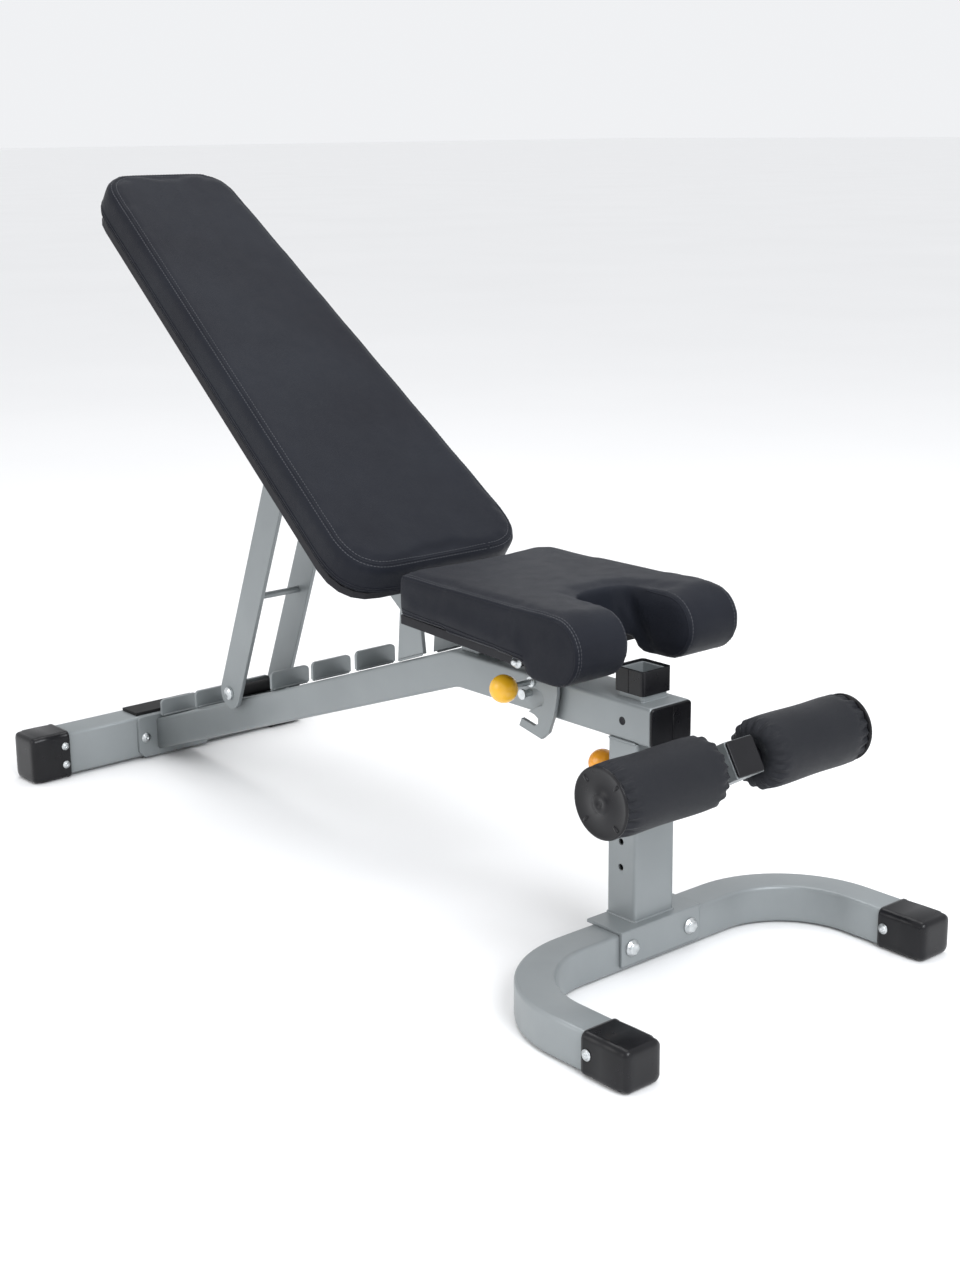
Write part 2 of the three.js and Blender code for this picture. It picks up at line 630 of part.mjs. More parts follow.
function foamRoller(side) {
  const r = ROLLER_RADIUS;
  const profile = [
    [12.7, ROLLER_INNER], [r - 12, ROLLER_INNER], [r - 3, ROLLER_INNER + 5], [r, ROLLER_INNER + 16],
    [r, ROLLER_OUTER - 16], [r - 3, ROLLER_OUTER - 5], [r - 12, ROLLER_OUTER], [12.7, ROLLER_OUTER],
    [12.7, ROLLER_INNER],
  ];
  const ordered = side > 0 ? profile : profile.map(([radius, y]) => [radius, -y]).reverse();
  return turned(ordered, AXLE.x, AXLE.z, 20);
}

function axle() {
  const y = 213.5;
  const chamfer = [[0, -y], [7, -y], [AXLE_RADIUS, -y + 1], [AXLE_RADIUS, y - 1], [7, y], [0, y]];
  return turned(chamfer, AXLE.x, AXLE.z, 18);
}

function pinHousing() {
  const profile = [[5.2, 0], [13, 0], [13, 4], [9, 5], [9, 16], [8, 18], [5.2, 18], [5.2, 0]];
  const points = profile.map(([radius, y]) => new THREE.Vector2(radius, y));
  return new THREE.LatheGeometry(points, 16).rotateZ(Math.PI / 2)
    .translate(-TUBE_DEEP / 2 - 4 - GAP, 0, PIN_HEIGHT);
}

function addFrame() {
  place(bench, 'main_rail', mainRail(), steelPaint);
  place(bench, 'front_post', frontPost(), steelPaint);
  place(bench, 'front_foot', frontFoot(), steelPaint);
  place(bench, 'foot_bracket', footBracket(), steelPaint);
  place(bench, 'accessory_socket', accessorySocket(), steelPaint);
  place(bench, 'socket_sleeve', socketSleeve(), blackPlastic);
  place(bench, 'rail_end_plug', railEndPlug(), blackPlastic);
  place(bench, 'rear_mount_plate', mountPlate(), steelPaint);
  const stabilizer = rectangularTube(STABILIZER_DEEP, STABILIZER_TALL, WALL, 2 * STABILIZER_HALF);
  stabilizer.rotateX(Math.PI / 2);
  stabilizer.translate(STABILIZER_X, STABILIZER_HALF, STABILIZER_LIFT + STABILIZER_TALL / 2);
  place(bench, 'rear_stabilizer', stabilizer, steelPaint);
  const restTop = STABILIZER_LIFT + STABILIZER_TALL + GAP;
  const restPad = block(STABILIZER_X - 22, STABILIZER_X + 22, -66, 66, restTop, restTop + 5);
  place(bench, 'decline_rest_pad', restPad, rubber);
  for (let i = 0; i < TOOTH_COUNT; i += 1) {
    place(bench, `ladder_plate_${i + 1}`, ladderPlate(i), steelPaint);
  }
  place(bench, 'upright_near', uprightPlate(-1), steelPaint);
  place(bench, 'upright_far', uprightPlate(1), steelPaint);
  place(bench, 'back_pivot_bolt', throughBolt(35, pivot.x, pivot.z), zinc);
  place(bench, 'seat_hinge_lug', hingeLug(), steelPaint);
  place(bench, 'seat_hinge_bolt', throughBolt(29, SEAT_HINGE.x, SEAT_HINGE.z), zinc);
  place(bench, 'catch_peg', catchPeg(), zinc);
}

function addCapsAndBolts() {
  for (const [label, side] of [['near', -1], ['far', 1]]) {
    const frontCap = endCap(58, FOOT_TUBE + 2 * FOOT_LIFT, 70, FOOT_TUBE, FOOT_TUBE);
    frontCap.rotateZ(Math.PI / 2).rotateY(Math.PI / 2);
    frontCap.translate(FOOT_FRONT + 5 - 70, side * FOOT_HALF, FOOT_LIFT + FOOT_TUBE / 2);
    place(bench, `front_cap_${label}`, frontCap, blackPlastic);
    const rearCap = endCap(66, STABILIZER_TALL + 2 * STABILIZER_LIFT, 66, STABILIZER_DEEP, STABILIZER_TALL);
    rearCap.rotateX(side * -Math.PI / 2);
    rearCap.translate(STABILIZER_X, side * (STABILIZER_HALF + 5 - 66), STABILIZER_LIFT + STABILIZER_TALL / 2);
    place(bench, `rear_cap_${label}`, rearCap, blackPlastic);
    const bracketBolt = domeScrew(7, 6).rotateZ(-Math.PI / 2);
    bracketBolt.translate(FOOT_BACK + FOOT_TUBE / 2 + BRACKET_THICK + 2 * GAP, side * 52, 32);
    place(bench, `bracket_bolt_${label}`, bracketBolt, zinc);
  }
}

function addBackrest() {
  const back = new THREE.Group();
  back.position.set(BACK_FACE.x, 0, BACK_FACE.z);
  back.rotation.y = Math.PI + BACK_ANGLE;
  bench.add(back);
  place(back, 'back_pad', backPad(), vinyl);
  place(back, 'back_board', backBoard(), boardBlack);
  place(back, 'back_spine', backSpine(), steelPaint);
}

function addStrut() {
  place(bench, 'strut_bar_near', strutBar(-1), steelPaint);
  place(bench, 'strut_bar_far', strutBar(1), steelPaint);
  place(bench, 'strut_pivot_bolt', throughBolt(STRUT_INNER + STRUT_THICK, strutTop.x, strutTop.z), zinc);
  place(bench, 'strut_foot_bolt', throughBolt(STRUT_INNER + STRUT_THICK, strutFoot.x, strutFoot.z), zinc);
  const sleeve = [
    [BORE, -STRUT_INNER + GAP], [FOOT_SLEEVE, -STRUT_INNER + GAP], [FOOT_SLEEVE, STRUT_INNER - GAP],
    [BORE, STRUT_INNER - GAP], [BORE, -STRUT_INNER + GAP],
  ];
  place(bench, 'strut_foot_sleeve', turned(sleeve, strutFoot.x, strutFoot.z), rubber);
  const along = 0.41;
  const x = strutFoot.x + along * (strutTop.x - strutFoot.x);
  const z = strutFoot.z + along * (strutTop.z - strutFoot.z);
  place(bench, 'strut_brace_rod', rodAlongY(5, -STRUT_INNER + GAP, STRUT_INNER - GAP, x, z, 14), steelPaint);
}

function addSeat() {
  place(bench, 'seat_pad', seatPad(), vinyl);
  place(bench, 'seat_board', seatBoard(), boardBlack);
  place(bench, 'seat_frame', seatFrame(), steelPaint);
}

function addCatch() {
  place(bench, 'catch_pivot_stud', catchArm(), zinc);
  place(bench, 'seat_catch', seatCatch(), steelPaint);
  place(bench, 'catch_rod', catchRod(), zinc);
  const knob = ballKnob(19).translate(-152, CATCH_SIDE - 5 - GAP - 28 - 19, 334);
  place(bench, 'catch_knob', knob, yellowKnob);
}

function addRollers() {
  place(bench, 'carriage_sleeve', carriageSleeve(), steelPaint);
  place(bench, 'roller_arm', rollerArm(), steelPaint);
  place(bench, 'arm_plug', armPlug(), blackPlastic);
  place(bench, 'roller_axle', axle(), zinc);
  for (const [label, side] of [['near', -1], ['far', 1]]) {
    const coreEnd = ROLLER_OUTER + 1;
    place(bench, `axle_spacer_${label}`, axleRing(side, 8.4, 12, 23.4, 37.4, 16), zinc);
    place(bench, `roller_core_${label}`, axleRing(side, 8.4, 12.4, ROLLER_INNER, coreEnd, 16), blackPlastic);
    place(bench, `foam_roller_${label}`, foamRoller(side), vinyl);
    const cap = axleRing(side, 8.4, CAP_RADIUS, coreEnd + GAP, coreEnd + 4, 24);
    place(bench, `roller_cap_${label}`, cap, blackPlastic);
  }
  place(bench, 'pin_housing', pinHousing(), zinc);
  const rod = rodAlongX(4.8, -51, PIN_TIP, 0, PIN_HEIGHT, 12);
  place(bench, 'pull_pin', rod, zinc);
  const ball = ballKnob(19).rotateZ(Math.PI / 2).translate(-70.5, 0, PIN_HEIGHT);
  place(bench, 'pin_knob', ball, yellowKnob);
}

addFrame();
addCapsAndBolts();
addBackrest();
addStrut();
addSeat();
addCatch();
addRollers();

export default bench;
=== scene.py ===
"""Sit-up bench: cushions, foam rollers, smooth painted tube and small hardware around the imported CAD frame."""
import json
import math

import bmesh
import bpy
from mathutils import Matrix, Vector
from mathutils.bvhtree import BVHTree


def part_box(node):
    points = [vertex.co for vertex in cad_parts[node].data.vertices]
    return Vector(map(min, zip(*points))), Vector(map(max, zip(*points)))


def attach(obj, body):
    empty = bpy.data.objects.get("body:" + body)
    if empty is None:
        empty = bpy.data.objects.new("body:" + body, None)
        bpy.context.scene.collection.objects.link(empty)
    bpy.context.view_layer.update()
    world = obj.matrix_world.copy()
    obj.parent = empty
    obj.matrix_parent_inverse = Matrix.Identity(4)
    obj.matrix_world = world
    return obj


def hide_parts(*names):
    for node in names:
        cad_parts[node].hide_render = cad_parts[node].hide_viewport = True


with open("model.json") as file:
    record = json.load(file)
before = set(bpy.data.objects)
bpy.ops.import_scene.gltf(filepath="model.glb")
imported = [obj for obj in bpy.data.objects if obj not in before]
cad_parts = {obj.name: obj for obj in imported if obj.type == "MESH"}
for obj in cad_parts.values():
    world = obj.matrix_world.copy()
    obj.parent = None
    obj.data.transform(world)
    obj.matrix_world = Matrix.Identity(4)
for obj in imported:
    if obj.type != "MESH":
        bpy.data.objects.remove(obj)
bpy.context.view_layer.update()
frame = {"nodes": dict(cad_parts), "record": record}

MM = 0.001
post_low, post_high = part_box("front_post")
POST_X = (post_low[0] + post_high[0]) / 2


def at(x, y, z):
    """A point in millimetres, X counted from the front post's axis."""
    return Vector((POST_X + x * MM, y * MM, z * MM))


# ---------------------------------------------------------------- materials

def new_material(name):
    material = bpy.data.materials.new(name)
    material.use_nodes = True
    tree = material.node_tree
    shader = tree.nodes["Principled BSDF"]
    return material, tree, shader


def add_node(tree, kind, **values):
    node = tree.nodes.new(kind)
    for key, value in values.items():
        if key in node.inputs:
            node.inputs[key].default_value = value
        else:
            setattr(node, key, value)
    return node


def object_coordinates(tree):
    return add_node(tree, "ShaderNodeTexCoord").outputs["Object"]


def colour_ramp(tree, source, low, high, start=0.3, end=0.7):
    ramp = add_node(tree, "ShaderNodeValToRGB")
    ramp.color_ramp.elements[0].position = start
    ramp.color_ramp.elements[1].position = end
    ramp.color_ramp.elements[0].color = (*low, 1)
    ramp.color_ramp.elements[1].color = (*high, 1)
    tree.links.new(source, ramp.inputs["Fac"])
    return ramp.outputs["Color"]


def noise(tree, scale, detail=3.0, roughness=0.5):
    node = add_node(tree, "ShaderNodeTexNoise", Scale=scale, Detail=detail, Roughness=roughness)
    tree.links.new(object_coordinates(tree), node.inputs["Vector"])
    return node.outputs["Fac"]


def bump(tree, shader, layers, edge=0.0):
    """Chains bump layers (height, strength, distance) over an optional softened edge."""
    normal = None
    if edge:
        normal = add_node(tree, "ShaderNodeBevel", Radius=edge).outputs["Normal"]
    for height, strength, distance in layers:
        node = add_node(tree, "ShaderNodeBump", Strength=strength, Distance=distance)
        tree.links.new(height, node.inputs["Height"])
        if normal is not None:
            tree.links.new(normal, node.inputs["Normal"])
        normal = node.outputs["Normal"]
    tree.links.new(normal, shader.inputs["Normal"])


def range_map(tree, source, low, high):
    node = add_node(tree, "ShaderNodeMapRange")
    node.inputs["To Min"].default_value = low
    node.inputs["To Max"].default_value = high
    tree.links.new(source, node.inputs["Value"])
    return node.outputs["Result"]


def painted_steel():
    material, tree, shader = new_material("silver_paint")
    tone = colour_ramp(tree, noise(tree, 9.0, 5.0), (0.235, 0.255, 0.262), (0.27, 0.292, 0.3))
    tree.links.new(tone, shader.inputs["Base Color"])
    shader.inputs["Metallic"].default_value = 0.35
    tree.links.new(range_map(tree, noise(tree, 30.0), 0.36, 0.46), shader.inputs["Roughness"])
    bump(tree, shader, [(noise(tree, 420.0, 2.0), 0.12, 0.0004)], edge=0.0022)
    return material


def vinyl(name, dark, light):
    material, tree, shader = new_material(name)
    tone = colour_ramp(tree, noise(tree, 6.0, 4.0), dark, light)
    tree.links.new(tone, shader.inputs["Base Color"])
    tree.links.new(range_map(tree, noise(tree, 45.0), 0.44, 0.58), shader.inputs["Roughness"])
    shader.inputs["Sheen Weight"].default_value = 0.02
    shader.inputs["Sheen Roughness"].default_value = 0.4
    shader.inputs["Specular IOR Level"].default_value = 0.14
    grain = add_node(tree, "ShaderNodeTexVoronoi", Scale=620.0, feature="DISTANCE_TO_EDGE")
    tree.links.new(object_coordinates(tree), grain.inputs["Vector"])
    pebbles = colour_ramp(tree, grain.outputs["Distance"], (0, 0, 0), (1, 1, 1), 0.0, 0.22)
    bump(tree, shader, [(noise(tree, 28.0, 3.0), 0.12, 0.003), (pebbles, 0.32, 0.0005)])
    return material


def moulded_plastic(name, tone_low, tone_high, rough_low, rough_high, edge=0.0015):
    material, tree, shader = new_material(name)
    tree.links.new(colour_ramp(tree, noise(tree, 14.0), tone_low, tone_high), shader.inputs["Base Color"])
    tree.links.new(range_map(tree, noise(tree, 60.0), rough_low, rough_high), shader.inputs["Roughness"])
    shader.inputs["Specular IOR Level"].default_value = 0.28
    bump(tree, shader, [(noise(tree, 900.0, 2.0), 0.1, 0.0002), (noise(tree, 22.0), 0.06, 0.002)], edge=edge)
    return material


def zinc_plate():
    material, tree, shader = new_material("zinc")
    tone = colour_ramp(tree, noise(tree, 160.0, 4.0), (0.5, 0.53, 0.54), (0.72, 0.74, 0.75))
    tree.links.new(tone, shader.inputs["Base Color"])
    shader.inputs["Metallic"].default_value = 0.95
    tree.links.new(range_map(tree, noise(tree, 300.0), 0.22, 0.38), shader.inputs["Roughness"])
    bump(tree, shader, [(noise(tree, 500.0), 0.1, 0.0002)], edge=0.0008)
    return material


def knob_plastic(name, low, high):
    material, tree, shader = new_material(name)
    tree.links.new(colour_ramp(tree, noise(tree, 25.0), low, high), shader.inputs["Base Color"])
    tree.links.new(range_map(tree, noise(tree, 80.0), 0.16, 0.26), shader.inputs["Roughness"])
    shader.inputs["Coat Weight"].default_value = 0.3
    bump(tree, shader, [(noise(tree, 60.0), 0.05, 0.001)])
    return material


PAINT = painted_steel()
PAD = vinyl("charcoal_vinyl", (0.007, 0.008, 0.013), (0.011, 0.013, 0.019))
ROLLER = vinyl("roller_vinyl", (0.012, 0.013, 0.016), (0.017, 0.018, 0.022))
PLASTIC = moulded_plastic("black_plastic", (0.004, 0.004, 0.005), (0.008, 0.008, 0.010), 0.24, 0.34)
RUBBER = moulded_plastic("black_rubber", (0.010, 0.010, 0.011), (0.017, 0.017, 0.018), 0.6, 0.75)
BOARD = moulded_plastic("board_black", (0.007, 0.007, 0.010), (0.012, 0.012, 0.016), 0.5, 0.66)
ZINC = zinc_plate()
YELLOW = knob_plastic("yellow_knob", (0.88, 0.46, 0.015), (0.95, 0.54, 0.03))
ORANGE = knob_plastic("orange_knob", (0.80, 0.30, 0.01), (0.88, 0.36, 0.015))
THREAD = moulded_plastic("stitch_thread", (0.05, 0.053, 0.06), (0.075, 0.078, 0.088), 0.6, 0.8, edge=0.0)

SLOT_MATERIALS = {
    "silver_paint": PAINT, "black_plastic": PLASTIC, "black_rubber": RUBBER, "charcoal_vinyl": PAD,
    "board_black": BOARD, "zinc": ZINC, "yellow_knob": YELLOW,
}


def finish_cad_nodes():
    slots = {row["node"]: row["material_slot"] for row in frame["record"]["subparts"]}
    for node, obj in frame["nodes"].items():
        material = SLOT_MATERIALS[slots[node]]
        if node == "pin_knob":
            material = ORANGE
        for slot in obj.material_slots:
            slot.material = material
        if not obj.material_slots:
            obj.data.materials.append(material)


# ---------------------------------------------------------------- mesh helpers

def make_piece(name, vertices, faces, material, body):
    mesh = bpy.data.meshes.new(name)
    mesh.from_pydata([tuple(v) for v in vertices], [], faces)
    mesh.validate()
    obj = bpy.data.objects.new(name, mesh)
    bpy.context.collection.objects.link(obj)
    bm = bmesh.new()
    bm.from_mesh(mesh)
    bmesh.ops.recalc_face_normals(bm, faces=bm.faces)
    bm.to_mesh(mesh)
    bm.free()
    for polygon in mesh.polygons:
        polygon.use_smooth = True
    mesh.materials.append(material)
    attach(obj, body)
    return obj


def rounded_section(width, height, radius, steps=5):
    points = []
    corners = [(1, 1, 0), (-1, 1, 90), (-1, -1, 180), (1, -1, 270)]
    for sx, sy, start in corners:
        for i in range(steps + 1):
            a = math.radians(start + 90 * i / steps)
            points.append((sx * (width / 2 - radius) + radius * math.cos(a),
                           sy * (height / 2 - radius) + radius * math.sin(a)))
    return points


def loft(rings, close_ends=True):
    """Joins equal rings of points into a skin; the ends are closed by faces."""
    count = len(rings[0])
    vertices = [p for ring in rings for p in ring]
    faces = []
    for r in range(len(rings) - 1):
        for i in range(count):
            j = (i + 1) % count
            faces.append((r * count + i, r * count + j, (r + 1) * count + j, (r + 1) * count + i))
    if close_ends:
        faces.append(tuple(range(count)))
        faces.append(tuple((len(rings) - 1) * count + i for i in range(count)))
    return vertices, faces


def tube_rings(path, section, side_axis):
    """Carries a section along a path; side_axis(i) gives the section's first axis at each point."""
    rings = []
    for i, point in enumerate(path):
        before = path[max(i - 1, 0)]
        after = path[min(i + 1, len(path) - 1)]
        along = (after - before).normalized()
        side = side_axis(along).normalized()
        up = along.cross(side).normalized()
        rings.append([point + side * (a * MM) + up * (b * MM) for a, b in section])
    return rings


def lathe_rings(profile, origin, axis, segments=32):
    """Turns (radius, distance) pairs, in millimetres, about an axis."""
    axis = axis.normalized()
    side = axis.orthogonal().normalized()
    other = axis.cross(side)
    rings = []
    for radius, distance in profile:
        ring = []
        for i in range(segments):
            a = 2 * math.pi * i / segments
            ring.append(origin + axis * (distance * MM)
                        + (side * math.cos(a) + other * math.sin(a)) * (radius * MM))
        rings.append(ring)
    return rings


def snap(points, target, offset=0.0):
    """Moves points onto a mesh piece and lifts them by an offset in metres."""
    tree = BVHTree.FromObject(target, bpy.context.evaluated_depsgraph_get())
    snapped = []
    for point in points:
        place, normal, _, _ = tree.find_nearest(point)
        snapped.append((place + normal * offset, normal))
    return snapped


def resample(points, spacing):
    """Even steps along a polyline, in metres."""
    out = [points[0]]
    left = spacing
    for a, b in zip(points, points[1:]):
        length = (b - a).length
        travelled = 0.0
        while length - travelled >= left:
            travelled += left
            out.append(a.lerp(b, travelled / length))
            left = spacing
        left -= length - travelled
    return out


def stitch_row(name, points, target, body, spacing=5.0, size=(1.9, 0.6, 0.45)):
    """A row of short sewn threads lying on a cushion."""
    vertices, faces = [], []
    line = resample(points, spacing * MM)
    seated = snap(line, target, 0.0001)
    for (place, normal), (after, _) in zip(seated, seated[1:]):
        along = after - place
        if along.length < 1e-6 or along.length > 3 * spacing * MM:
            continue
        along.normalize()
        across = normal.cross(along).normalized()
        base = len(vertices)
        for t, swell in ((-1, 0.25), (-0.5, 0.9), (0.5, 0.9), (1, 0.25)):
            for k in range(6):
                a = math.tau * k / 6
                vertices.append(place + along * (t * size[0] * MM)
                                + across * (math.cos(a) * size[1] * swell * MM)
                                + normal * (math.sin(a) * size[2] * swell * MM))
        for r in range(3):
            for k in range(6):
                j = (k + 1) % 6
                faces.append((base + r * 6 + k, base + r * 6 + j, base + r * 6 + 6 + j, base + r * 6 + 6 + k))
        faces.append(tuple(base + k for k in range(6)))
        faces.append(tuple(base + 18 + k for k in range(6)))
    return make_piece(name, vertices, faces, THREAD, body)


def cord_along(name, points, target, body, radius, material, offset=0.0):
    """A thin welt or bead that follows a surface."""
    seated = snap(resample(points, 4 * MM), target, offset)
    path = [place for place, _ in seated]
    section = [(radius * math.cos(math.tau * k / 8), radius * math.sin(math.tau * k / 8)) for k in range(8)]
    normals = [normal for _, normal in seated]
    steady = sum(normals, Vector()).normalized()
    rings = tube_rings(path, section, lambda along: along.cross(steady) if along.cross(steady).length > 0.1
                       else along.orthogonal())
    vertices, faces = loft(rings)
    return make_piece(name, vertices, faces, material, body)


def weld_bead(name, a, b, body, radius=2.2):
    """Overlapping ripples of weld between two points."""
    count = max(int((b - a).length / (3.2 * MM)), 2)
    path, sizes = [], []
    for i in range(count * 3 + 1):
        t = i / (count * 3)
        path.append(a.lerp(b, t))
        sizes.append(radius * (0.82 + 0.18 * math.cos(i * math.tau / 3)) * (0.4 if i in (0, count * 3) else 1))
    along = (b - a).normalized()
    side = along.orthogonal().normalized()
    up = along.cross(side)
    rings = [[p + (side * math.cos(math.tau * k / 10) + up * math.sin(math.tau * k / 10)) * (s * MM)
              for k in range(10)] for p, s in zip(path, sizes)]
    vertices, faces = loft(rings)
    return make_piece(name, vertices, faces, PAINT, body)


# ---------------------------------------------------------------- painted tube

RAIL_TOP = 339
TUBE_DEEP = 50
TUBE_WIDE = 70
RAIL_KNEE = -326
RAIL_SLOPE = math.radians(19.4)
PLATE_FRONT = -1099
RAIL_FRONT = 46


def rail_top_at(x):
    if x >= RAIL_KNEE:
        return RAIL_TOP
    low = RAIL_TOP - TUBE_DEEP - (RAIL_KNEE - x) * math.tan(RAIL_SLOPE)
    return low + TUBE_DEEP / math.cos(RAIL_SLOPE)


def main_rail():
    shift = TUBE_DEEP / 2 * math.tan(RAIL_SLOPE / 2)
    knee_x = RAIL_KNEE + shift
    middle = RAIL_TOP - TUBE_DEEP / 2
    reach = 14.0
    path = []
    for t in (0.0, 0.5, 1.0):
        x = PLATE_FRONT + t * (knee_x - reach - PLATE_FRONT)
        path.append((x, middle - (knee_x - x) * math.tan(RAIL_SLOPE)))
    for k in range(1, 8):
        t = k / 8
        x = (1 - t) ** 2 * (knee_x - reach) + 2 * t * (1 - t) * knee_x + t * t * (knee_x + reach)
        z = middle - (1 - t) ** 2 * reach * math.tan(RAIL_SLOPE)
        path.append((x, z))
    path += [(knee_x + reach, middle), (RAIL_FRONT - 1.5, middle)]
    section = rounded_section(TUBE_WIDE, TUBE_DEEP, 5)
    points = [at(x, 0, z) for x, z in path]
    rings = tube_rings(points, section, lambda along: Vector((0, 1, 0)))
    plate = at(PLATE_FRONT, 0, 0).x
    rings[0] = [Vector((plate, p.y, p.z + (plate - p.x) * math.tan(RAIL_SLOPE))) for p in rings[0]]
    rings.append([p + Vector((1.5 * MM, 0, 0)) for p in rings[-1]])
    vertices, faces = loft(rings)
    rail = make_piece("rail_skin", vertices, faces, PAINT, "frame")
    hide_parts("main_rail")


FOOT_FRONT = 260
FOOT_BACK = 8.5
FOOT_HALF = 260
FOOT_BEND = 130
FOOT_MIDDLE = 27


def front_foot():
    path = [(FOOT_FRONT, -FOOT_HALF), (FOOT_BACK + FOOT_BEND, -FOOT_HALF)]
    for k in range(1, 20):
        a = math.radians(90 * k / 20)
        path.append((FOOT_BACK + FOOT_BEND * (1 - math.sin(a)), -FOOT_HALF + FOOT_BEND * (1 - math.cos(a))))
    path.append((FOOT_BACK, -FOOT_HALF + FOOT_BEND))
    path.append((FOOT_BACK, -40))
    path += [(x, -y) for x, y in reversed(path)]
    section = rounded_section(50, 50, 5)
    points = [at(x, y, FOOT_MIDDLE) for x, y in path]
    rings = tube_rings(points, section, lambda along: along.cross(Vector((0, 0, 1))))
    vertices, faces = loft(rings)
    foot = make_piece("foot_skin", vertices, faces, PAINT, "frame")
    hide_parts("front_foot")


def rear_stabilizer():
    low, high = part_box("rear_stabilizer")
    middle = [(a + b) / 2 for a, b in zip(low, high)]
    section = rounded_section((high[0] - low[0]) / MM, (high[2] - low[2]) / MM, 5)
    points = [Vector((middle[0], low[1] + (high[1] - low[1]) * t, middle[2])) for t in (0, 0.5, 1)]
    rings = tube_rings(points, section, lambda along: Vector((1, 0, 0)))
    vertices, faces = loft(rings)
    tube = make_piece("stabilizer_skin", vertices, faces, PAINT, "frame")
    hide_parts("rear_stabilizer")


def tube_cap(node, axis, sign, width_axis):
    """Moulded cap: rolled mouth lip, a shallow step near the closed end and softly crowned faces."""
    low, high = (Vector(v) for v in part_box(node))
    middle = (low + high) / 2
    size = high - low
    length = size[axis] / MM
    width, height = size[width_axis] / MM, size.z / MM
    stations = [(0, -1.2, 8), (0.6, 0, 9), (4, 0, 9), (5.2, -0.5, 9), (length * 0.45, 0.2, 9),
                (length - 14, 0, 9), (length - 12.6, -0.7, 9), (length - 6, -1.0, 9), (length - 2.5, -2.4, 8),
                (length - 0.7, -5.2, 7), (length, -9.5, 6), (length, -16, 5)]
    start = low[axis] if sign > 0 else high[axis]
    rings = []
    for distance, grow, radius in stations:
        ring = []
        for a, b in rounded_section(width + 2 * min(grow, 0), height + 2 * min(grow, 0), radius, 6):
            point = Vector(middle)
            point[axis] = start + sign * distance * MM
            point[width_axis] += a * MM
            point.z += b * MM
            ring.append(point)
        rings.append(ring)
    vertices, faces = loft(rings)
    cap = make_piece(node + "_skin", vertices, faces, PLASTIC, "frame")
    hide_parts(node)


def dome_screw(name, place, axis, body, radius=5.2, height=3.6):
    profile = [(0.01, 0), (radius * 1.5, 0), (radius * 1.5, 1.0), (radius * 1.02, 1.15), (radius, 1.4),
               (radius * 0.92, height * 0.62), (radius * 0.7, height * 0.9), (radius * 0.46, height),
               (radius * 0.42, height), (radius * 0.36, height - 1.2), (0.01, height - 1.3)]
    vertices, faces = loft(lathe_rings(profile, place, axis, 24))
    return make_piece(name, vertices, faces, ZINC, body)


def hex_bolt(node, body):
    """Washer and hexagon head standing where the CAD bolt head is."""
    low, high = (Vector(v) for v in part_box(node))
    middle = (low + high) / 2
    base = Vector(middle)
    direction = Vector((1, 0, 0))
    base.x = low.x
    rings = lathe_rings([(0.01, 0), (10.6, 0), (10.6, 1.4), (7.8, 1.5), (7.8, 5.4), (6.6, 6.2), (0.01, 6.4)],
                        base, direction, 6 * 4)
    for index in (3, 4):
        for i, point in enumerate(rings[index]):
            offset = point - base
            along = direction * offset.dot(direction)
            flat = offset - along
            a = math.tau * i / 24
            flat *= math.cos(math.pi / 6) / max(math.cos((a % (math.pi / 3)) - math.pi / 6), 0.5) * 1.08
            rings[index][i] = base + along + flat
    vertices, faces = loft(rings)
    bolt = make_piece(node + "_head", vertices, faces, ZINC, body)
    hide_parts(node)


# ---------------------------------------------------------------- cushions

def inflate(node, name, body, voxel, inset, reach, is_held, pressure=4.0):
    """Cloth under pressure over a slightly smaller copy of the CAD cushion, held where it meets its board."""
    source = frame["nodes"][node]
    mesh = source.data.copy()
    mesh.transform(source.matrix_world)
    obj = bpy.data.objects.new(name, mesh)
    bpy.context.collection.objects.link(obj)
    remesh = obj.modifiers.new("remesh", "REMESH")
    remesh.mode = "VOXEL"
    remesh.voxel_size = voxel
    smooth = obj.modifiers.new("soften", "SMOOTH")
    smooth.iterations = 2
    shrink = obj.modifiers.new("shrink", "DISPLACE")
    shrink.strength = -inset
    shrink.mid_level = 0.0
    apply_modifiers(obj)
    start = [v.co.copy() for v in obj.data.vertices]
    group = obj.vertex_groups.new(name="held")
    group.add([i for i, co in enumerate(start) if is_held(co)], 1.0, "REPLACE")
    cloth = obj.modifiers.new("cloth", "CLOTH")
    cloth.settings.quality = 5
    cloth.settings.mass = 0.3
    cloth.settings.tension_stiffness = 18
    cloth.settings.compression_stiffness = 18
    cloth.settings.shear_stiffness = 8
    cloth.settings.bending_stiffness = 1.2
    cloth.settings.use_pressure = True
    cloth.settings.uniform_pressure_force = pressure
    cloth.settings.vertex_group_mass = "held"
    cloth.settings.effector_weights.gravity = 0.0
    cloth.collision_settings.use_collision = False
    cloth.point_cache.frame_start = 1
    cloth.point_cache.frame_end = 20
    for number in range(1, 21):
        bpy.context.scene.frame_set(number)
    swollen = evaluated_copy(obj)
    obj.modifiers.clear()
    normals = [v.normal.copy() for v in obj.data.vertices]
    for vertex, first, outward, last in zip(obj.data.vertices, start, normals, swollen.vertices):
        swell = (last.co - first).dot(outward)
        vertex.co = first + outward * min(max(swell, 0.0), reach)
    bpy.data.meshes.remove(swollen)
    bpy.context.scene.frame_set(1)
    relax = obj.modifiers.new("relax", "SMOOTH")
    relax.iterations = 5
    fine = obj.modifiers.new("fine", "SUBSURF")
    fine.levels = 1
    fine.render_levels = 1
    apply_modifiers(obj)
    for polygon in obj.data.polygons:
        polygon.use_smooth = True
    obj.data.materials.clear()
    obj.data.materials.append(PAD)
    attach(obj, body)
    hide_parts(node)
    return obj


def evaluated_copy(obj):
    graph = bpy.context.evaluated_depsgraph_get()
    return bpy.data.meshes.new_from_object(obj.evaluated_get(graph))


